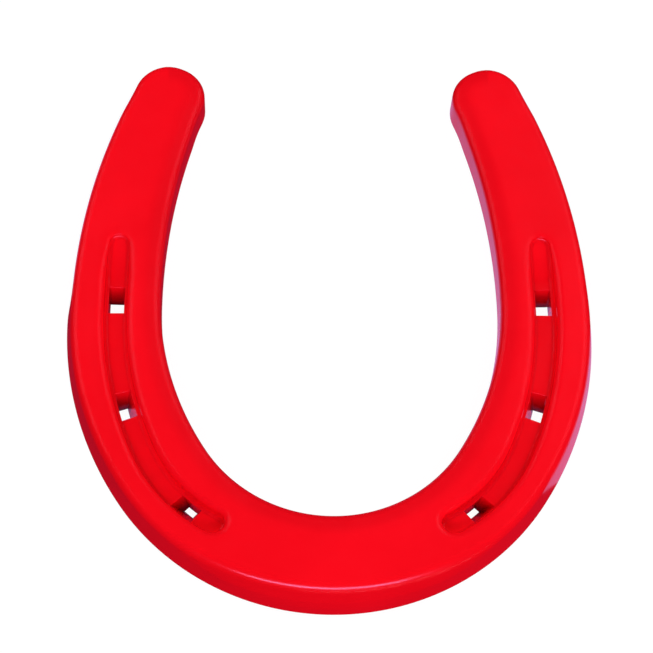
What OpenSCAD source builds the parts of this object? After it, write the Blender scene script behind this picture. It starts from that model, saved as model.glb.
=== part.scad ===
// Fullered horseshoe: a bent flat bar under a coat of red powder paint.
// Ground face up, hoof face on z = 0, toe towards -Y, heels towards +Y, millimetres.

/* [Overall] */
// Greatest width over the coat, at the foot of the outer wall
shoe_w = 112; // [90:1:140]
// Greatest length over the coat, toe to heel tips
shoe_l = 124; // [100:1:150]
// Thickness over the coat, hoof face to ground face
shoe_t = 8.3; // [6.5:0.1:10]

/* [Bar] */
// Width of the bar across the toe
toe_web = 18.8; // [15:0.1:22]
// Width of the bar across the widest part of a branch
branch_web = 20.3; // [16:0.1:23]
// Width of a heel tip
heel_web = 16.2; // [13:0.1:19]
// Distance between the centres of the two heel tips, in hundredths of the shoe's width
heel_share = 62.5; // [58:0.5:67]

/* [Toe bevel] */
// How far the bevel reaches back over the ground face at the toe
bevel_back = 3.8; // [2:0.1:5]
// Lean of the bevel over the full thickness
bevel_lean = 4.4; // [3.5:0.1:6]

/* [Crease and nail holes] */
// Depth of the crease
crease_d = 3.6; // [2:0.1:4.5]
// Width of the crease
crease_w = 4.8; // [4.4:0.1:6]
// Length over which the crease runs out behind the last nail hole
crease_run = 12; // [8:0.5:16]
// Nail hole where it leaves the hoof face, across and along the bar
nail_out = [3, 2.9]; // [2:0.1:4]
// Nail hole at the crease floor, across and along the bar
nail_in = [3.6, 6.3]; // [2.5:0.1:7]

/* [Coat] */
// Thickness of the powder coat
coat_t = 0.15; // [0.1:0.05:0.3]

/* [Hidden] */
$fn = 180;
steel_color = [0.36, 0.35, 0.35];
coat_color = [0.93, 0.03, 0.07];
cut = 2;                                     // how far a cutter passes the faces it cuts
mid_gap = 5;                                 // branches are built this far off the centre line
toe_y = -shoe_l / 2;

// Ground outline: toe arc, quarter arc, heel arc, each tangent to the next.
// Angles are measured at an arc's centre from straight towards the toe.
half_w = shoe_w / 2;
heel_spread = heel_share * shoe_w / 100;
toe_turn = 55.8;
out_toe_r = 0.468 * shoe_w;
out_quarter_r = (half_w - out_toe_r * sin(toe_turn)) / (1 - sin(toe_turn));
out_toe_c = [0, toe_y + out_toe_r];
out_quarter_c = out_toe_c + (out_toe_r - out_quarter_r) * dir(toe_turn);
heel_r = heel_web / 2;
tip_r = 1.02 * heel_r;                       // a little over, so the tip meets the sides at a corner
heel_c = [heel_spread / 2, -toe_y - tip_r];
heel_rise = heel_c.y - out_quarter_c.y;
out_heel_r = (pow(heel_c.x - half_w, 2) + pow(heel_rise, 2) - pow(heel_r, 2))
    / (2 * (half_w - heel_c.x - heel_r));
out_heel_c = out_quarter_c + (out_quarter_r - out_heel_r) * dir(90);
out_heel_turn = 90 + atan2(heel_rise, heel_c.x - out_heel_c.x);

// Opening: the same three arcs on the inside of the bar.
open_w = half_w - branch_web;
open_turn = 57.3;
in_toe_r = 0.274 * shoe_w;
in_quarter_r = (open_w - in_toe_r * sin(open_turn)) / (1 - sin(open_turn));
in_toe_c = [0, toe_y + toe_web + in_toe_r];
in_quarter_c = in_toe_c + (in_toe_r - in_quarter_r) * dir(open_turn);
in_rise = heel_c.y - in_quarter_c.y;
in_heel_r = (pow(heel_c.x - open_w, 2) + pow(in_rise, 2) - pow(heel_r, 2))
    / (2 * (heel_r + open_w - heel_c.x));
in_heel_c = in_quarter_c + (in_quarter_r - in_heel_r) * dir(90);
in_heel_turn = 90 + atan2(in_rise, heel_c.x - in_heel_c.x);
core_w = heel_c.x - heel_r - 1;              // half-width of the block that clears the opening

// Crease centre line: three more tangent arcs, along the middle of the web.
crease_turn = 66;
crease_quarter_r = 1.1 * out_quarter_r;
crease_toe_r = 0.647 * out_toe_r;
crease_heel_r = 2.2 * shoe_w;
crease_quarter_c = [half_w - 0.53 * branch_web - crease_quarter_r, out_quarter_c.y + 0.7];
crease_toe_c = crease_quarter_c + (crease_quarter_r - crease_toe_r) * dir(crease_turn);
crease_heel_c = crease_quarter_c + (crease_quarter_r - crease_heel_r) * dir(90);
crease_start = 27;
crease_end = 91.3;
crease_stop = 95;
floor_z = shoe_t - crease_d;
run_r = (pow(crease_run, 2) + pow(crease_d, 2)) / (2 * crease_d);
run_dip = 0.03;                              // so the wheel's rim crosses the floor at a slight angle

// Nail holes from heel to toe: arc centre, distance from it, angle.
nails = [
    [crease_heel_c, crease_heel_r, 90.9],
    [crease_quarter_c, crease_quarter_r + 0.5, 74.5],
    [crease_toe_c, crease_toe_r - 0.4, 40]
];

function dir(turn) = [sin(turn), -cos(turn)];

module mirrored() {
    children();
    mirror([1, 0, 0]) children();
}

// Turns a profile about a vertical axis, from one angle to another.
module sweep(centre, from, to) {
    translate([centre.x, centre.y, 0]) rotate([0, 0, from - 90])
        rotate_extrude(angle = to - from) children();
}

// Slice of a disc between two angles. Its straight sides run through the ends of the arc to a
// point behind the centre, so neighbouring slices overlap inside and meet only at arc ends.
module slice(centre, r, from, to) {
    apex = centre - 0.3 * r * dir((from + to) / 2);
    function through(turn) = apex + 3 * (centre + r * dir(turn) - apex);
    intersection() {
        translate(centre) circle(r);
        polygon([apex, through(from), through((from + to) / 2), through(to)]);
    }
}

// Everything on the +X side, clear of the centre line.
module right_side() {
    translate([mid_gap, -shoe_l]) square([shoe_w, 2 * shoe_l]);
}

// Outline of the bar, filled in and running on past the heels.
// grow moves it outwards, or inwards when negative.
module outer_outline(grow) {
    slice(out_toe_c, out_toe_r + grow, -toe_turn, toe_turn);
    mirrored() intersection() {
        right_side();
        union() {
            slice(out_quarter_c, out_quarter_r + grow, toe_turn, 90);
            slice(out_heel_c, out_heel_r + grow, 90, out_heel_turn + 5);
        }
    }
}

// Outline of the opening between the branches, open past the heels.
module opening_outline(grow) {
    core_y = in_toe_c.y - 0.2 * in_toe_r;
    translate([-core_w, core_y]) square([2 * core_w, shoe_l]);
    slice(in_toe_c, in_toe_r - grow, -open_turn, open_turn);
    mirrored() intersection() {
        right_side();
        union() {
            slice(in_quarter_c, in_quarter_r - grow, open_turn, 90);
            slice(in_heel_c, in_heel_r - grow, 90, in_heel_turn + 5);
        }
    }
}

// What rounding one heel takes away: everything past its centre that is outside the tip circle.
module heel_waste(grow) {
    outer_way = 3 * heel_r * dir(out_heel_turn);
    inner_way = -3 * heel_r * dir(in_heel_turn);
    difference() {
        polygon([
            heel_c, heel_c + outer_way, heel_c + outer_way + [0, shoe_l],
            heel_c + inner_way + [0, shoe_l], heel_c + inner_way
        ]);
        translate(heel_c) circle(tip_r + grow);
    }
}

module bar_outline(grow) {
    difference() {
        outer_outline(grow);
        opening_outline(grow);
        mirrored() heel_waste(grow);
    }
}

// What the bevel takes off the outer wall round the toe.
module toe_bevel(grow) {
    r = 0.5 * shoe_w;
    per_mm = bevel_lean / shoe_t;
    lean = atan(per_mm);
    high = shoe_t + cut;
    sweep([0, toe_y + bevel_back + r], -60, 60) polygon([
        [r - cut * per_mm + grow / cos(lean), high],
        [r + shoe_t, high],
        [r + shoe_t, -cut],
        [r + high * per_mm + grow / cos(lean), -cut]
    ]);
}

// Everything on the toe side of a line along the crease's middle, shifted outwards by add.
// more carries it past the crease's ends.
module crease_side(add, more) {
    slice(crease_toe_c, crease_toe_r + add, crease_start - more, crease_turn);
    slice(crease_quarter_c, crease_quarter_r + add, crease_turn, 90);
    slice(crease_heel_c, crease_heel_r + add, 90, crease_stop + more);
}

// Outline of one branch's crease, rounded at the toe end.
module crease_outline(grow) {
    half = crease_w / 2 - grow;
    intersection() {
        difference() {
            crease_side(half, 0);
            crease_side(-half, 4);
        }
        translate([crease_toe_c.x + mid_gap, -shoe_l]) square([shoe_w, 2 * shoe_l]);
    }
    translate(crease_toe_c + crease_toe_r * dir(crease_start)) circle(1.02 * half);
}

// One branch's crease, running out at the heel end along a big upright wheel's rim.
module crease(grow) {
    end_y = crease_heel_c.y - crease_heel_r * cos(crease_end);
    difference() {
        translate([0, 0, floor_z + grow]) linear_extrude(crease_d + cut) crease_outline(grow);
        difference() {
            translate([0, end_y, 0]) cube([shoe_w, shoe_l, shoe_t + 2 * cut]);
            translate([-cut, end_y, floor_z - run_dip + run_r]) rotate([0, 90, 0])
                cylinder(r = run_r - grow, h = shoe_w + 2 * cut);
        }
    }
}

// Four-sided punched hole, wider at the crease floor than at the hoof face.
module nail_hole(nail, grow) {
    at = nail[0] + nail[1] * dir(nail[2]);
    translate([at.x, at.y, 0]) rotate([0, 0, nail[2] - 90]) intersection() {
        rotate([90, 0, 0]) taper(nail_out.x / 2 - grow, nail_in.x / 2 - grow);
        rotate([90, 0, 90]) taper(nail_out.y / 2 - grow, nail_in.y / 2 - grow);
    }
}

// Wedge with the given half-widths at the hoof face and at the crease floor.
module taper(low, high) {
    per_mm = (high - low) / floor_z;
    top = 0.3 * cut;
    linear_extrude(3 * nail_in.y, center = true) polygon([
        [-low + cut * per_mm, -cut], [low - cut * per_mm, -cut],
        [high + top * per_mm, floor_z + top], [-high - top * per_mm, floor_z + top]
    ]);
}

// The whole shoe. grow = 0 is its painted surface.
module shoe(grow) {
    difference() {
        translate([0, 0, -grow]) linear_extrude(shoe_t + 2 * grow) bar_outline(grow);
        toe_bevel(grow);
        mirrored() {
            crease(grow);
            for (nail = nails) nail_hole(nail, grow);
        }
    }
}

module steel_bar() {
    color(steel_color) shoe(-coat_t);
}

module powder_coat() {
    color(coat_color) difference() {
        shoe(0);
        shoe(-coat_t);
    }
}

steel_bar();
powder_coat();
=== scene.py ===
# %% [markdown]
# # A horseshoe under red powder paint
# The real shoe starts as a straight flat bar. It is creased, punched for its nails, bent round
# a former, and at last sprayed with powder that melts into a thick glossy skin. The lesson
# follows the same road: the bar is shaped while it is straight, then bent, then mirrored.
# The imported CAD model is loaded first. It stays where it is and gives the overall size.

# %% Load the fixed frame
import math

import bmesh
import bpy
import numpy as np
from mathutils import Matrix, Vector


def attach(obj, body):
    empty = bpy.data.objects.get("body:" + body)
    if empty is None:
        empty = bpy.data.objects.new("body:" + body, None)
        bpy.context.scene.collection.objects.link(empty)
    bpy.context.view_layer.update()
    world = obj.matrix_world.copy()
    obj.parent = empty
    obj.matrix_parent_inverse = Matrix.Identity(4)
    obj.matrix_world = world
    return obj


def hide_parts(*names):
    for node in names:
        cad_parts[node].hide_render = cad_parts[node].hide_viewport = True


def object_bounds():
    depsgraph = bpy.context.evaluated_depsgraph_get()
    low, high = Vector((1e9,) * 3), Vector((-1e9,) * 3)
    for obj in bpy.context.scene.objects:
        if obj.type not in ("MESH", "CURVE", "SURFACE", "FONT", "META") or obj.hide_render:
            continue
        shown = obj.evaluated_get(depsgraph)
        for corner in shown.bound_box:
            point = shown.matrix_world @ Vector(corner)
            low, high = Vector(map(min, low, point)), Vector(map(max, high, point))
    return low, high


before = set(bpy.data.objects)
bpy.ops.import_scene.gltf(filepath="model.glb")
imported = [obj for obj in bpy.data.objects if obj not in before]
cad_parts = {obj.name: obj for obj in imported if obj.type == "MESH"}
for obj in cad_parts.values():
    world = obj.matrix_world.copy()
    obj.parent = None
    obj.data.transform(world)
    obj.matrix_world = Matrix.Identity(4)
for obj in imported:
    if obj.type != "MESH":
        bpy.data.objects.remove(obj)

MM = 0.001
cad_low, cad_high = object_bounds()
thick = cad_high.z / MM
toe_y = cad_low.y / MM
print("CAD box, mm:", [round(n / MM, 2) for n in (*cad_low, *cad_high)])

# %% [markdown]
# ## The draughtsman's arcs
# A shoe is drawn with compasses. The outer edge, the inner edge, the crease and the middle of
# the bar are each three arcs that run into one another: a tight one round the toe, a wider one
# at the quarter and a nearly straight one to the heel. Free curves could be pushed until they
# look right, but arcs give even curvature, and gloss shows every bump in an edge. An angle here
# is measured at the arc's centre, from straight towards the toe.

# %% Arcs
def way(turn):
    """Direction from an arc's centre, for an angle in degrees from straight towards the toe."""
    turn = np.radians(turn)
    return np.stack([np.sin(turn), -np.cos(turn)], axis=-1)


def arcs_from(centre, radii, turns):
    """Chain of arcs, each tangent to the next: (centre, radius, angle where it ends)."""
    chain, centre = [], np.array(centre, float)
    for i, radius in enumerate(radii):
        if i:
            centre = centre + (radii[i - 1] - radius) * way(turns[i - 1])
        chain.append((centre, radius, turns[i]))
    return chain


def from_toe(back, radii, turns):
    """Chain of arcs that starts on the centre line, a distance back from the shoe's front."""
    return arcs_from([0, toe_y + back + radii[0]], radii, turns)


heel = np.array([35.0, 54.03])        # middle of a heel tip
heel_r = 7.645                        # its radius, on the ground face
toe_centre = [0, -11.08]
middle = arcs_from(toe_centre, [40.8, 66.4], [56.5, 90])
widest = middle[1][0] + [middle[1][1], 0]
across, rise = widest[0] - heel[0], heel[1] - widest[1]
heel_arc = (across**2 + rise**2) / (2 * across)      # the arc that ends in the heel's middle
middle = arcs_from(toe_centre, [40.8, 66.4, heel_arc], [56.5, 90, 180])
outer = from_toe(1.5, [50.98, 70.01, 133.6], [55.76, 90, 180])
inner = from_toe(18.72, [30.66, 62.7, 141.5], [57.3, 90, 180])
bevel = from_toe(3.0, [56], [180])
crease = arcs_from([8.41, -15.8], [33, 76.8, 250], [66, 90, 180])

lengths = []
start = 0.0
for centre, radius, turn in middle[:2]:
    lengths.append(math.radians(turn - start) * radius)
    start = turn
to_heel = heel - middle[2][0]
heel_turn = math.degrees(math.atan2(to_heel[0], -to_heel[1]))
lengths.append(math.radians(heel_turn - 90) * middle[2][1])
bar_length = sum(lengths)
print("half bar, toe to heel centre, mm:", round(bar_length, 2), [round(n, 2) for n in lengths])

# %% [markdown]
# ## Reading the drawing
# While the bar is straight, a point is known by its distance along the bar and across it. These
# helpers answer two questions: where a place on the bar ends up, and how far it is from the
# middle line to one of the other edges. A ruler laid square across the drawing does the same.

# %% Places along the bar
def station(along):
    """Points of the middle line and the outward direction there, for distances along the bar."""
    along = np.clip(along, 0, bar_length)
    place, square = np.zeros((len(along), 2)), np.zeros((len(along), 2))
    begin, turn_from = 0.0, 0.0
    for (centre, radius, turn), length in zip(middle, lengths):
        here = (along >= begin - 1e-9) & (along <= begin + length + 1e-9)
        turns = turn_from + np.degrees((along[here] - begin) / radius)
        square[here] = way(turns)
        place[here] = centre + radius * square[here]
        begin, turn_from = begin + length, turn
    return place, square


def reach(along, chain):
    """Distance from the middle line, outwards, to a chain of arcs."""
    place, square = station(along)
    found, last_turn = np.full(len(along), np.nan), -180
    for centre, radius, turn in chain:
        out = place - centre
        level = (out * square).sum(1)
        root = np.sqrt(np.maximum(level**2 - (out**2).sum(1) + radius**2, 0))
        hit = place + (root - level)[:, None] * square - centre
        turns = np.degrees(np.arctan2(hit[:, 0], -hit[:, 1]))
        good = (turns >= last_turn - 0.01) & (turns <= turn + 0.01)
        found[good] = (root - level)[good]
        last_turn = turn
    return found


def along_at(x, y):
    """Distance along the bar of a point in plan, in mm."""
    begin, turn_from = 0.0, 0.0
    for (centre, radius, turn), length in zip(middle, lengths):
        turns = math.degrees(math.atan2(x - centre[0], centre[1] - y))
        if turn_from <= turns <= turn or turn == 180:
            return begin + math.radians(turns - turn_from) * radius
        begin, turn_from = begin + length, turn


marks = np.array([0, 30, 60, 90, 120])
for name, chain in (("outer", outer), ("inner", inner), ("crease", crease)):
    print(name, "edge from the middle, mm:", reach(marks, chain).round(2))

# %% [markdown]
# ## The straight bar
# Half of the bar is made, from the middle of the toe to the middle of a heel. A grid one cell
# wide, with cells about a millimetre long, is extruded to the bar's thickness, and planes slice it
# lengthwise where later steps need edges: at the crease, at the nail holes and beside the
# corners. The nominal bar is 20 mm wide, and is drawn to its real width when it is bent.
# The outer side faces -Y.

# %% Straight bar
def pick(kind, test):
    """Selects the vertices, edges or faces of the edited mesh that pass a test."""
    bpy.ops.mesh.select_mode(type=kind)
    bpy.ops.mesh.select_all(action="DESELECT")
    shape = bmesh.from_edit_mesh(bpy.context.edit_object.data)
    parts = {"VERT": shape.verts, "EDGE": shape.edges, "FACE": shape.faces}[kind]
    count = 0
    for part in parts:
        if test(part):
            part.select_set(True)
            count += 1
    bmesh.update_edit_mesh(bpy.context.edit_object.data)
    return count


def close(a, b):
    return abs(a - b) < 1e-6


columns = 132
pitch = bar_length / columns
side = 10                              # half the nominal width
lip = 2.6                              # half the crease's width at the ground face
slot_row = 2.45                        # half a nail hole's width before the crease floor narrows
rows = [0, 1, 1.8, slot_row, lip, 4.3, 5.2, 6.1, 7.0, 7.8, 8.4]
levels = [1.6, 2.5, 3.4, 5.0]          # heights at which the sides are sliced

bpy.ops.object.select_all(action="DESELECT")
bpy.ops.mesh.primitive_grid_add(x_subdivisions=columns, y_subdivisions=1, size=1)
coat = bpy.context.object
coat.name = coat.data.name = "coat_skin"
bpy.ops.object.mode_set(mode="EDIT")
bpy.ops.transform.resize(value=(bar_length * MM, 2 * side * MM, 1), center_override=(0, 0, 0))
bpy.ops.transform.translate(value=(bar_length / 2 * MM, 0, 0))
bpy.ops.mesh.extrude_region_move(TRANSFORM_OT_translate={"value": (0, 0, thick * MM)})
for y in sorted({s * row for row in rows for s in (-1, 1)}):
    bpy.ops.mesh.select_all(action="SELECT")
    bpy.ops.mesh.bisect(plane_co=(0, y * MM, 0), plane_no=(0, 1, 0))
for z in levels:
    bpy.ops.mesh.select_all(action="SELECT")
    bpy.ops.mesh.bisect(plane_co=(0, 0, z * MM), plane_no=(0, 0, 1))
bpy.ops.mesh.select_all(action="SELECT")
bpy.ops.mesh.normals_make_consistent(inside=False)
ends = pick("FACE", lambda face: abs(face.normal.x) > 0.9)
bpy.ops.mesh.delete(type="FACE")
print("end faces opened:", ends, "vertices:", len(bmesh.from_edit_mesh(coat.data).verts))

# %% [markdown]
# ## Pressing the crease
# The crease, or fuller, is the groove that takes the nail heads. On the real bar a wheel rolls
# it in. Here the faces over it are extruded downwards and the floor is scaled narrower, so that
# the walls slope. Planes slice the walls near their foot, where they are rounded later, because
# paint never keeps a sharp edge. A boolean would cut the crease too, but leaves a ragged mesh
# that gloss gives away.

# %% Crease
crease_depth = 3.6
floor_half = 1.75                      # half the crease's width at its floor
floor_z = thick - crease_depth
make_room = 0.35                       # shift of the next columns, so that the lip can be rounded
crease_front = round((along_at(23.39, -45.2) - lip + 0.8) / pitch) * pitch
crease_rear = round(95.5 / pitch) * pitch


def in_crease(x, y, half=lip):
    return crease_front - 1e-3 < x / MM < crease_rear + 1e-3 and abs(y / MM) < half + 1e-3


def on_rim(v, z, half):
    """True for a vertex on the crease's edge, at a height."""
    x, y = v.co.x / MM, abs(v.co.y / MM)
    level = close(v.co.z, z * MM) and in_crease(v.co.x, v.co.y, half)
    at_end = abs(x - crease_front) < 1e-3 or abs(x - crease_rear) < 1e-3
    return level and (abs(y - half) < 1e-3 or at_end)


def on_column(v, x, z):
    """True for a vertex on one column, at a height."""
    return close(v.co.z, z * MM) and abs(v.co.x / MM - x) < 1e-3


def crease_face(face):
    middle_of = face.calc_center_median()
    return face.normal.z > 0.9 and in_crease(middle_of.x, middle_of.y)


for end, step in ((crease_front - pitch, -make_room), (crease_rear + pitch, make_room)):
    pick("VERT", lambda v: on_column(v, end, thick) and abs(v.co.y / MM) < 8)
    bpy.ops.transform.translate(value=(step * MM, 0, 0))
picked = pick("FACE", crease_face)
bpy.ops.mesh.extrude_region_move(TRANSFORM_OT_translate={"value": (0, 0, -crease_depth * MM)})
bpy.ops.transform.resize(value=(1, floor_half / lip, 1), center_override=(0, 0, floor_z * MM))
for end, step in ((crease_front, lip - floor_half), (crease_rear, floor_half - lip)):
    pick("VERT", lambda v: on_column(v, end, floor_z))
    bpy.ops.transform.translate(value=(step * MM, 0, 0))
for height in (0.1, 0.3, 0.6, 1.2):
    bpy.ops.mesh.select_all(action="SELECT")
    bpy.ops.mesh.bisect(plane_co=(0, 0, (floor_z + height) * MM), plane_no=(0, 0, 1))
print("crease faces pressed:", picked, "from", round(crease_front, 2), "to", round(crease_rear, 2))

# %% [markdown]
# ## Punching the nail holes
# Three four-sided holes go through each branch. A punch leaves them wide at the crease and narrow
# where they come out, and they lean a little, as the toe nails must turn inwards to hold. The
# faces over and under each hole are deleted and the two openings bridged. The lower opening is
# then scaled and moved, which tapers and tilts the hole.

# %% Nail holes
exits = {"heel": (45.2, 5.4), "quarter": (43.3, -18.9), "toe": (28.9, -40.4)}
lean_out = {"heel": 0.1, "quarter": 1.1, "toe": -1.2}
exit_size = {"heel": (2.2, 2.9), "quarter": (2.1, 2.8), "toe": (2.1, 1.2)}     # along, across
mouth_length = {"heel": 6.0, "quarter": 6.0, "toe": 5.0}
mouth_half = slot_row * floor_half / lip
cells = 6                              # length of the hole that is opened first, in grid cells
hole_at = {name: along_at(*place) for name, place in exits.items()}


def near_hole(x, centre, spare=0.0):
    return abs(x / MM - centre) < cells / 2 * pitch + spare


for name, at in hole_at.items():
    grid_at = round(at / pitch) * pitch

    def over_hole(face):
        c = face.calc_center_median()
        floor = close(c.z, floor_z * MM) and abs(c.y / MM) < mouth_half
        under = close(c.z, 0) and abs(c.y / MM) < slot_row
        return (floor or under) and near_hole(c.x, grid_at) and abs(face.normal.z) > 0.9

    picked = pick("FACE", over_hole)
    bpy.ops.mesh.delete(type="FACE")

    def rim_of_hole(edge):
        return edge.is_boundary and all(near_hole(v.co.x, grid_at, 0.1) for v in edge.verts) \
            and all(abs(v.co.y / MM) < slot_row + 0.01 for v in edge.verts)

    rim = pick("EDGE", rim_of_hole)
    bpy.ops.mesh.bridge_edge_loops()
    half = cells / 2 * pitch + 0.05

    def hole_edge(v, z, width):
        level = close(v.co.z, z * MM) and abs(v.co.x / MM - grid_at) < half
        return level and abs(v.co.y / MM) < width + 0.01

    pick("VERT", lambda v: hole_edge(v, 0, slot_row))
    long, wide = exit_size[name]
    bpy.ops.transform.resize(value=(long / (cells * pitch), wide / (2 * slot_row), 1),
                             center_override=(grid_at * MM, 0, 0))
    bpy.ops.transform.translate(value=((at - grid_at) * MM, -lean_out[name] * MM, 0))
    pick("VERT", lambda v: hole_edge(v, floor_z, mouth_half))
    bpy.ops.transform.resize(value=(mouth_length[name] / (cells * pitch), 1, 1),
                             center_override=(grid_at * MM, 0, 0))
    bpy.ops.transform.translate(value=((at - grid_at) * MM, 0, 0))
    print("hole", name, "at", round(at, 2), "faces", picked, "rim edges", rim)

# %% [markdown]
# ## Rounding the edges
# The bar leaves the rolls with soft corners, and melted powder rounds them further. Each edge
# gets its own bevel: wide on the ground face, narrower on the hoof face, small round the crease
# and smallest round the holes. The bevel is done while the bar is straight and its cells are
# square, where it can't fold over itself.

# %% Rounded edges
def corner(v, z):
    return close(v.co.z, z * MM) and close(abs(v.co.y), side * MM)


def both(edge, test):
    return all(test(v) for v in edge.verts)


def round_off(what, test, offset, segments):
    """Bevels the edges that pass a test."""
    count = pick("EDGE", test)
    bpy.ops.mesh.bevel(offset=offset * MM, segments=segments, affect="EDGES", clamp_overlap=False)
    print(what, "edges rounded:", count)


def beside_wall(edge):
    """True where one of the edge's faces is not level."""
    return any(abs(face.normal.z) < 0.9 for face in edge.link_faces)


def on_mouth(v):
    level = close(v.co.z, floor_z * MM) and abs(v.co.y / MM) < mouth_half + 0.01
    return level and crease_front + lip < v.co.x / MM < crease_rear - lip


def on_exit(v):
    return close(v.co.z, 0) and abs(v.co.y / MM) < slot_row


lip_round = 1.1
round_off("ground", lambda e: both(e, lambda v: corner(v, thick)), 1.4, 6)
round_off("hoof", lambda e: both(e, lambda v: corner(v, 0)), 0.8, 4)
round_off("lip", lambda e: both(e, lambda v: on_rim(v, thick, lip)) and len(e.link_faces) == 2
          and beside_wall(e), lip_round, 4)
round_off("mouth", lambda e: both(e, on_mouth) and beside_wall(e), 0.09, 2)
round_off("exit", lambda e: both(e, on_exit) and len(e.link_faces) == 2 and beside_wall(e),
          0.13, 2)

# %% [markdown]
# ## Spinning the heel tip
# The end of the bar is a half round in plan. The outer half of the open end is a line of edges
# from the middle of one face, over the rounded corners, to the middle of the other. Spun half a
# turn about an upright axis it closes the end and lands on the inner half. The doubles are then
# merged, which also closes the two poles.

# %% Heel tip
count = pick("EDGE", lambda e: both(e, lambda v: close(v.co.x, bar_length * MM) and v.co.y < 1e-6))
bpy.ops.mesh.spin(steps=24, angle=-math.pi, center=(bar_length * MM, 0, 0), axis=(0, 0, 1))
bpy.ops.mesh.select_all(action="SELECT")
bpy.ops.mesh.remove_doubles(threshold=0.004 * MM)
bpy.ops.mesh.normals_make_consistent(inside=False)
open_edges = pick("EDGE", lambda e: e.is_boundary)
bpy.ops.object.mode_set(mode="OBJECT")
print("edges spun:", count, "open edges left (the toe section):", open_edges,
      "reach, mm:", round(max(v.co.x for v in coat.data.vertices) / MM, 3))

# %% [markdown]
# ## Drawing the bar to its widths
# A smith draws the bar wider here and narrower there before bending it. Every column of points
# is slid sideways so that the outer edge, the crease and the inner edge lie where the drawing
# has them, while the rounded corners keep their shape. The same pass leans the outer wall,
# slopes the toe bevel, lets the crease run out behind the last nail and rounds its front end.
# Scaling each column by hand would do it too, one by one: a formula does all of them alike.
# A second value is kept at every point: painted shade, which darkens the paint where shade
# would fall. It is high on the heel side of the nail holes, and slight at the crease's foot and
# along the inner edge.

# %% Widths
def soft_step(low, high, x):
    t = np.clip((x - low) / (high - low), 0, 1)
    return t * t * (3 - 2 * t)


def soft_least(a, b, blend=0.35):
    """The lesser of two values, with a rounded change from one to the other."""
    gap = np.clip(0.5 + 0.5 * (b - a) / blend, 0, 1)
    return b + (a - b) * gap - blend * gap * (1 - gap)


front_lean, rear_lean = 1.52, 1.02       # how far the outer wall stands out at the hoof face
bevel_slope = 0.53                       # toe bevel, mm back for each mm up
bevel_end = 60                           # distance along the bar where the bevel is long gone
roll_width, roll_drop = 4.2, 0.35        # the ground face sinks a little beside the inner edge
foot_round = 0.6                         # rounding at the foot of the crease's walls
full_round, no_round = 4.2, 6.5          # the crease's ends are round up to here, square beyond
past_end = 6                             # how far past the crease's ends the rounding reaches
run_narrows = 0.18                       # how much narrower the crease gets where it is shallow
run_start = hole_at["heel"] + mouth_length["heel"] / 2 + 1.5
run_marks = [0, 0.1, 0.2, 0.5, 0.8, 1]   # places along the run-out, and the depth at each
run_depths = [1, 0.97, 0.84, 0.62, 0.36, 0.2]
kept, moved = 3.6, 8.4                   # rows nearer the middle keep to the crease, rows further
#                                          out to the edges, and those between share the shift


def heel_share(along):
    """How far the bar's width has given way to the heel tip's."""
    return soft_step(bar_length - 8, bar_length, along)


def wall_at(along, z):
    """Distance from the middle to the outer wall, at a height."""
    place, _ = station(along)
    lean = rear_lean + (front_lean - rear_lean) * soft_step(9, 2, place[:, 1])
    edge = reach(along, outer)
    past = heel_share(along)
    edge = edge * (1 - past) + heel_r * past
    plain = edge + lean * (1 - z / thick)
    sloped = reach(along, bevel) + bevel_slope * (thick - z)
    return np.where(along < bevel_end, soft_least(plain, sloped), plain)


def crease_shape(x, y, z):
    """Rounds the crease's foot and its two ends, and makes it shallow where it runs out."""
    dx = x - np.clip(x, crease_front + lip, crease_rear - lip)
    square_r = np.maximum(np.maximum(np.abs(dx), np.abs(y)), 1e-6)
    height = np.clip(z - floor_z, 0, crease_depth)
    foot = np.sqrt(np.maximum(foot_round**2 - np.maximum(foot_round - height, 0)**2, 0))
    above = np.maximum(height - foot_round, 0)
    steep = foot + (lip - floor_half - foot_round) * above / crease_depth
    slope = (lip - floor_half) * height / crease_depth
    on_wall = (height > 1e-3) & (height < crease_depth - lip_round + 1e-3)
    on_wall &= (square_r < lip + 0.01) & (square_r > floor_half - 0.01)
    swell = np.where(on_wall, (square_r + steep - slope) / square_r, 1)
    near = (z > floor_z - 1e-3) & (x > crease_front - past_end) & (x < crease_rear + past_end)
    pull = np.where(near, 1 - soft_step(full_round, no_round, square_r), 0)
    ratio = swell * (1 + pull * (square_r / np.maximum(np.hypot(dx, y), 1e-6) - 1))
    x, y = x + dx * (ratio - 1), y * ratio
    left = np.clip((x - run_start) / (crease_rear - run_start), 0, 1)
    depth = np.interp(left, run_marks, run_depths)
    inside = near & (np.abs(y) < lip + 1.2) & (x > run_start) & (x < crease_rear + 1.5)
    lipness = height / crease_depth * (1 - soft_step(lip + 0.7, lip + 1.5, np.abs(y)))
    y = np.where(inside, y * (1 - run_narrows * lipness * (1 - depth)), y)
    z = np.where(inside, thick - (thick - z) * depth, z)
    return x, y, z


points = np.zeros(3 * len(coat.data.vertices))
coat.data.vertices.foreach_get("co", points)
x, y, z = points.reshape(-1, 3).T / MM

# Painted shade: darker paint inside the nail holes, at the foot of the crease's walls and beside
# the inner edge, where shade falls.
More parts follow.
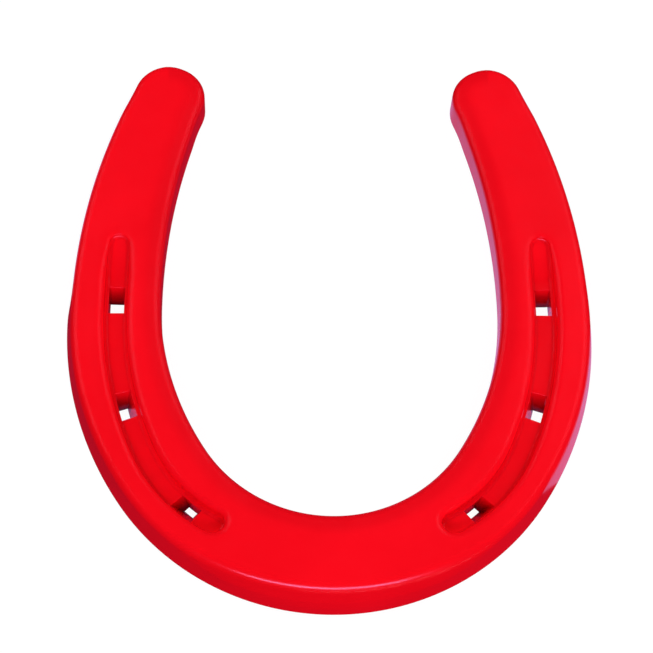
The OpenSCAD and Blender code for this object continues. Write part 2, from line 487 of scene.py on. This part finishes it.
hole_shade, foot_shade, edge_shade = 0.8, 0.14, 0.12
painted_shade = np.zeros(len(x))
for name, at in hole_at.items():
    long, wide = exit_size[name]
    low_down = (z < floor_z - 0.15) & (x > at) & (x - at < long / 2 + 0.3)
    painted_shade[low_down & (np.abs(y + lean_out[name]) < wide / 2 + 0.3)] = hole_shade
foot = (np.abs(z - floor_z) < 0.35) & (np.abs(y) > 1.5) & (np.abs(y) < lip)
painted_shade[foot & (x > crease_front) & (x < crease_rear)] = foot_shade
x, y, z = crease_shape(x, y, z)
along = np.minimum(x, bar_length)
beyond = np.maximum(x - bar_length, 0)
in_tip = beyond > 1e-6
rho = np.where(in_tip, np.hypot(beyond, y), np.abs(y))
outward = np.where(in_tip, np.clip(-y / np.maximum(rho, 1e-6), 0, 1), (y < 0).astype(float))
wall = wall_at(along, np.clip(z, 0, thick))
past = heel_share(along)
inside_edge = -reach(along, inner) * (1 - past) + heel_r * past
grooved = (1 - soft_step(100, 118, along)) * soft_step(4, 20, along)
groove = np.nan_to_num(reach(along, crease)) * grooved
edge_shift = outward * (wall - side) + (1 - outward) * (inside_edge - side)
centre_shift = np.where(y < 0, groove, -groove)
share = np.clip((rho - kept) / (moved - kept), 0, 1)
rho_new = rho + centre_shift * (1 - share) * (beyond < 1e-6) + edge_shift * share
scale = rho_new / np.maximum(rho, 1e-6)
middle_row = rho < 1e-6
y_new = np.where(in_tip, y * scale, np.where(middle_row, -groove, np.sign(y) * rho_new))
x_new = np.where(in_tip, bar_length + beyond * scale, x)
from_inner = np.where(outward < 0.5, inside_edge - rho_new, 99)
drop = roll_drop * (1 - soft_step(0, roll_width, from_inner)) * (z > thick - 2.5)
z_new = z - drop * (outward < 0.5) * (1 - 2 * np.minimum(outward, 0.5))
beside = (from_inner < 99) & (z > thick - 1.5)
painted_shade = np.maximum(painted_shade, np.where(beside, edge_shade * (1 - soft_step(2, 5, from_inner)), 0))
coat.data.attributes.new("painted_shade", "FLOAT", "POINT").data.foreach_set("value", painted_shade)
points = np.stack([x_new, y_new, z_new], axis=1) * MM
coat.data.vertices.foreach_set("co", points.ravel())
coat.data.update()
print("straight bar spans, mm:", (points.min(0) / MM).round(2), (points.max(0) / MM).round(2))

# %% [markdown]
# ## The bend
# The bend follows the middle line. It is drawn as compasses would: one point is spun about the
# first centre, then about the second and the third, and the line becomes a curve. A Curve
# modifier lays the bar along it, which keeps every section square to the line.

# %% Middle line
bpy.ops.object.select_all(action="DESELECT")
toe_point = middle[0][0] + [0, -middle[0][1]]
bpy.ops.mesh.primitive_circle_add(vertices=3, radius=MM, location=(*(toe_point * MM), 0))
line = bpy.context.object
line.name = "middle_line"
bpy.ops.object.transform_apply(location=True)
bpy.ops.object.mode_set(mode="EDIT")
bpy.ops.mesh.select_mode(type="VERT")
bpy.ops.mesh.select_all(action="SELECT")
bpy.ops.mesh.merge(type="CENTER")
turn_from = 0.0
for (centre, radius, turn), length in zip(middle, lengths):
    turned = math.radians(min(turn, heel_turn) - turn_from)
    bpy.ops.mesh.spin(steps=int(length / 0.4), angle=-turned, axis=(0, 0, 1),
                      center=(centre[0] * MM, centre[1] * MM, 0))
    turn_from = turn
spare = 30                             # short straight steps past the heel's middle, for its tip
ahead = 0.4 * MM * Vector((*way(heel_turn + 90), 0))
for _ in range(spare):
    bpy.ops.mesh.extrude_region_move(TRANSFORM_OT_translate={"value": ahead})
bpy.ops.object.mode_set(mode="OBJECT")
tip = line.data.vertices[-1].co / MM
print("line points:", len(line.data.vertices), "ends at, mm:", [round(n, 2) for n in tip])
bpy.ops.object.convert(target="CURVE")
line = bpy.context.object
line.data.dimensions = "3D"
line.data.twist_mode = "Z_UP"

# %% [markdown]
# The bent half is then mirrored at the toe. The seam's points are merged, and the mesh has to
# come out closed, with no edge that has other than two faces.

# %% Bend and mirror
def apply_modifier(thing, kind, **settings):
    """Adds a modifier with its settings and applies it at once."""
    bpy.ops.object.select_all(action="DESELECT")
    thing.select_set(True)
    bpy.context.view_layer.objects.active = thing
    modifier = thing.modifiers.new(kind.lower(), kind)
    for name, value in settings.items():
        setattr(modifier, name, value)
    bpy.ops.object.modifier_apply(modifier=modifier.name)


apply_modifier(coat, "CURVE", object=line, deform_axis="POS_X")
apply_modifier(coat, "MIRROR", merge_threshold=0.3 * MM, use_clip=True)
bpy.data.objects.remove(line)
bpy.ops.object.mode_set(mode="EDIT")
bpy.ops.mesh.select_all(action="SELECT")
bpy.ops.mesh.normals_make_consistent(inside=False)
open_edges = pick("EDGE", lambda e: not e.is_manifold)
bpy.ops.object.mode_set(mode="OBJECT")
corners = np.array([v.co for v in coat.data.vertices]) / MM
print("bent shoe spans, mm:", corners.min(0).round(3), corners.max(0).round(3),
      "open edges:", open_edges)

# %% [markdown]
# ## Steel under the paint
# Powder paint is about 0.15 mm thick. The steel is a copy of the painted surface, shrunk by a
# hair more than that along its normals, and the paint is given its thickness by a Solidify
# modifier. The steel is hidden until the coat is removed, but it is the part that carries load.

# %% Steel bar and paint thickness
coat_thick = 0.15


def smooth(thing):
    bpy.ops.object.select_all(action="DESELECT")
    thing.select_set(True)
    bpy.context.view_layer.objects.active = thing
    bpy.ops.object.shade_smooth()
    apply_modifier(thing, "WEIGHTED_NORMAL", mode="FACE_AREA", weight=50, keep_sharp=False)


bpy.ops.object.select_all(action="DESELECT")
coat.select_set(True)
bpy.context.view_layer.objects.active = coat
bpy.ops.object.duplicate()
steel = bpy.context.object
steel.name = steel.data.name = "steel_core"
bpy.ops.object.mode_set(mode="EDIT")
bpy.ops.mesh.select_all(action="SELECT")
bpy.ops.transform.shrink_fatten(value=-(coat_thick + 0.01) * MM)
bpy.ops.object.mode_set(mode="OBJECT")
smooth(steel)
apply_modifier(coat, "SOLIDIFY", thickness=coat_thick * MM, offset=-1)
smooth(coat)

# %% [markdown]
# ## Red powder paint
# Powder paint is a plastic skin: saturated colour, a clear gloss, and under it a very soft
# ripple called orange peel, about a millimetre from crest to crest. A plain gloss shader looks
# like a toy, so fine noise breathes over the colour and the roughness, and two sizes of noise
# drive a shallow bump. The colour sinks towards a dark red as painted shade, in the holes, at
# the crease's foot and by the inner edge. The gloss itself is tinted pink, as the reflections
# on saturated red look to the eye.

# %% Paint
def new_material(name):
    material = bpy.data.materials.new(name)
    material.use_nodes = True
    tree = material.node_tree
    return material, tree.nodes, tree.links, tree.nodes["Principled BSDF"]


def noise(nodes, links, scale, detail=2.0):
    place = nodes.get("place") or nodes.new("ShaderNodeTexCoord")
    place.name = "place"
    grain = nodes.new("ShaderNodeTexNoise")
    grain.inputs["Scale"].default_value = scale
    grain.inputs["Detail"].default_value = detail
    links.new(place.outputs["Object"], grain.inputs["Vector"])
    return grain.outputs["Fac"]


def spread(nodes, links, source, low, high):
    """Turns noise into a value between two limits."""
    fit = nodes.new("ShaderNodeMapRange")
    fit.inputs["From Min"].default_value, fit.inputs["From Max"].default_value = 0.3, 0.7
    fit.inputs["To Min"].default_value, fit.inputs["To Max"].default_value = low, high
    links.new(source, fit.inputs["Value"])
    return fit.outputs["Result"]


def tint(nodes, links, source, dark, light):
    """Turns noise into a colour between two."""
    ramp = nodes.new("ShaderNodeValToRGB")
    ramp.color_ramp.elements[0].position, ramp.color_ramp.elements[1].position = 0.3, 0.7
    ramp.color_ramp.elements[0].color = (*dark, 1)
    ramp.color_ramp.elements[1].color = (*light, 1)
    links.new(source, ramp.inputs["Fac"])
    return ramp.outputs["Color"]


def ripple(nodes, links, source, height, below=None):
    bump = nodes.new("ShaderNodeBump")
    bump.inputs["Strength"].default_value = 1
    bump.inputs["Distance"].default_value = height * MM
    links.new(source, bump.inputs["Height"])
    if below:
        links.new(below, bump.inputs["Normal"])
    return bump.outputs["Normal"]


paint, nodes, links, shader = new_material("red_powder_paint")
base_red = tint(nodes, links, noise(nodes, links, 60),
             (0.86, 0.0026, 0.0082), (0.92, 0.0032, 0.0098))
# Painted shade: the stored shade value mixes the paint colour towards a dark red.
shade_value = nodes.new("ShaderNodeAttribute")
shade_value.attribute_name = "painted_shade"
shaded = nodes.new("ShaderNodeMix")
shaded.data_type = "RGBA"
first_colour, shade_colour, mixed_colour = shaded.inputs[6], shaded.inputs[7], shaded.outputs[2]
shade_colour.default_value = (0.06, 0.0008, 0.0015, 1)
links.new(shade_value.outputs["Fac"], shaded.inputs["Factor"])
links.new(base_red, first_colour)
links.new(mixed_colour, shader.inputs["Base Color"])
links.new(spread(nodes, links, noise(nodes, links, 350), 0.16, 0.22), shader.inputs["Roughness"])
peel = ripple(nodes, links, noise(nodes, links, 900, 1), 0.006)
links.new(ripple(nodes, links, noise(nodes, links, 240, 1), 0.012, peel), shader.inputs["Normal"])
shader.inputs["IOR"].default_value = 1.5
shader.inputs["Specular Tint"].default_value = (1, 0.5, 0.7, 1)
coat.data.materials.clear()
coat.data.materials.append(paint)
print("paint nodes:", len(nodes))

# %% [markdown]
# ## Bare steel
# Hot-rolled steel carries a dark scale, patchy and slightly brown, that is rougher where it has
# flaked. Two noises mix the greys, and the finer one lifts the surface.

# %% Steel
scale_steel, nodes, links, shader = new_material("scaled_steel")
scale_colour = tint(nodes, links, noise(nodes, links, 180, 6),
                    (0.10, 0.092, 0.088), (0.30, 0.29, 0.285))
links.new(scale_colour, shader.inputs["Base Color"])
links.new(spread(nodes, links, noise(nodes, links, 500, 4), 0.38, 0.62),
          shader.inputs["Roughness"])
links.new(ripple(nodes, links, noise(nodes, links, 1200, 3), 0.02), shader.inputs["Normal"])
shader.inputs["Metallic"].default_value = 1
steel.data.materials.clear()
steel.data.materials.append(scale_steel)
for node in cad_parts.values():
    node.data.materials.clear()
    node.data.materials.append(paint if node.name == "powder_coat" else scale_steel)

replaced = ((coat, "powder_coat", "red_powder"), (steel, "steel_bar", "bar_steel"))
for piece, node, slot_name in replaced:
    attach(piece, "root")
    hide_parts(node)
print("pieces ride on root:", coat.name, steel.name)

# %% [markdown]
# ## Floor and light
# The shoe lies on a white sheet that glows, so that it takes no shadow and the nail holes show
# white through the bar. Two large lamps stand left and right of the heels and light the ground
# face evenly. They are left out of the reflections, as a mirror image of a large lamp would wash
# the red out. A low lamp fills the toe wall. The only lamp that the gloss shows is a long narrow
# one over the toe, and it draws the thin bright line along the toe's edge. Small violet cards
# just above the sheet are seen only in the gloss of the walls, as a cool rim. The room is dark
# overhead and dull red below, so that the steep walls mirror red and not grey.

# %% Floor and lamps
bpy.ops.object.select_all(action="DESELECT")
bpy.ops.mesh.primitive_plane_add(size=6, location=(0, 0, -0.02 * MM))
floor = bpy.context.object
floor.name = "floor"
white, nodes, links, shader = new_material("white_sheet")
shader.inputs["Base Color"].default_value = (0.05, 0.05, 0.05, 1)
shader.inputs["Roughness"].default_value = 0.9
shader.inputs["Specular IOR Level"].default_value = 0
shader.inputs["Emission Color"].default_value = (1, 1, 1, 1)
shader.inputs["Emission Strength"].default_value = 0.97
floor.data.materials.append(white)
floor.visible_diffuse = floor.visible_glossy = False


def lamp(name, place, aim, width, height, watts):
    """Area lamp at a place, facing a point. Places in metres."""
    bpy.ops.object.light_add(type="AREA", location=place)
    light = bpy.context.object
    light.name = name
    light.data.shape = "RECTANGLE"
    light.data.size, light.data.size_y = width, height
    light.data.energy = watts
    light.rotation_euler = (Vector(aim) - Vector(place)).to_track_quat("-Z", "Y").to_euler()
    return light


for name, x in (("left_lamp", -0.75), ("right_lamp", 0.75)):
    lamp(name, (x, 0.5, 0.85), (0, 0, 0), 0.9, 0.9, 9).visible_glossy = False
lamp("fill_lamp", (0.45, -1.15, 0.34), (0, 0, 0), 1.2, 0.3, 6).visible_glossy = False
toe_light = lamp("toe_lamp", (0, -0.78, 0.7), (0, 0, 0), 0.75, 0.15, 6)
toe_light.data.color = (0.85, 0.65, 1)

glow, nodes, links, shader = new_material("violet_glow")
shader.inputs["Base Color"].default_value = (0, 0, 0, 1)
shader.inputs["Specular IOR Level"].default_value = 0
shader.inputs["Emission Color"].default_value = (0.75, 0.36, 0.75, 1)
shader.inputs["Emission Strength"].default_value = 1
cards = (("right_inner", 4, 50, -20, 62), ("left_inner", -49, -36, -24, -12),
         ("left_outer", -75, -42, 12, 62), ("right_outer", 47, 75, -38, 2))
for name, x0, x1, y0, y1 in cards:
    bpy.ops.mesh.primitive_plane_add(
        size=MM, location=((x0 + x1) / 2 * MM, (y0 + y1) / 2 * MM, -0.01 * MM))
    card = bpy.context.object
    card.name = name + "_glow"
    card.scale = (x1 - x0, y1 - y0, 1)
    card.visible_camera = card.visible_diffuse = False
    card.visible_shadow = card.visible_transmission = False
    card.data.materials.append(glow)

world = bpy.data.worlds.new("room")
bpy.context.scene.world = world
world.use_nodes = True
nodes, links = world.node_tree.nodes, world.node_tree.links
facing = nodes.new("ShaderNodeTexCoord")
parts = nodes.new("ShaderNodeSeparateXYZ")
ramp = nodes.new("ShaderNodeValToRGB")
links.new(facing.outputs["Generated"], parts.inputs["Vector"])
height = nodes.new("ShaderNodeMapRange")
height.inputs["From Min"].default_value = -1
links.new(parts.outputs["Z"], height.inputs["Value"])
links.new(height.outputs["Result"], ramp.inputs["Fac"])
below, above = ramp.color_ramp.elements
below.position, below.color = 0.3, (0.3, 0.012, 0.045, 1)
above.position, above.color = 0.6, (0.012, 0.012, 0.012, 1)
links.new(ramp.outputs["Color"], nodes["Background"].inputs["Color"])
nodes["Background"].inputs["Strength"].default_value = 1
bpy.context.scene.view_settings.view_transform = "Standard"

# %% [markdown]
# ## Camera
# The camera looks down on the shoe from the toe side, 25 degrees off the vertical and a touch
# to the left, through a long lens. Its axes are built from those angles, so the tilt, the small
# sideways turn and the roll can each be read and changed.

# %% Camera
tilt, turn, roll = math.radians(25), math.radians(2), math.radians(-0.607)
distance, lens = 420, 109.87
aim = Vector((-0.916, -0.095, 4.0))
back = Vector((-math.sin(turn), -math.sin(tilt) * math.cos(turn),
               math.cos(tilt) * math.cos(turn)))
back.normalize()
right = (-back).cross(Vector((0, 1, 0))).normalized()
up = right.cross(-back)
right, up = (math.cos(roll) * right + math.sin(roll) * up,
             -math.sin(roll) * right + math.cos(roll) * up)
view_data = bpy.data.cameras.new("camera")
view_data.lens = lens
view_data.sensor_width = 36
view_data.clip_start, view_data.clip_end = 0.01, 20
camera = bpy.data.objects.new("camera", view_data)
bpy.context.scene.collection.objects.link(camera)
turned = Matrix((right, up, back)).transposed().to_4x4()
camera.matrix_world = Matrix.Translation((aim + distance * back) * MM) @ turned
bpy.context.scene.camera = camera
place = [round(n / MM, 1) for n in camera.matrix_world.translation]
print("camera at, mm:", place, "lens", lens)

# %% [markdown]
# The view layer is brought up to date at the end.

# %% Final update
bpy.context.view_layer.update()
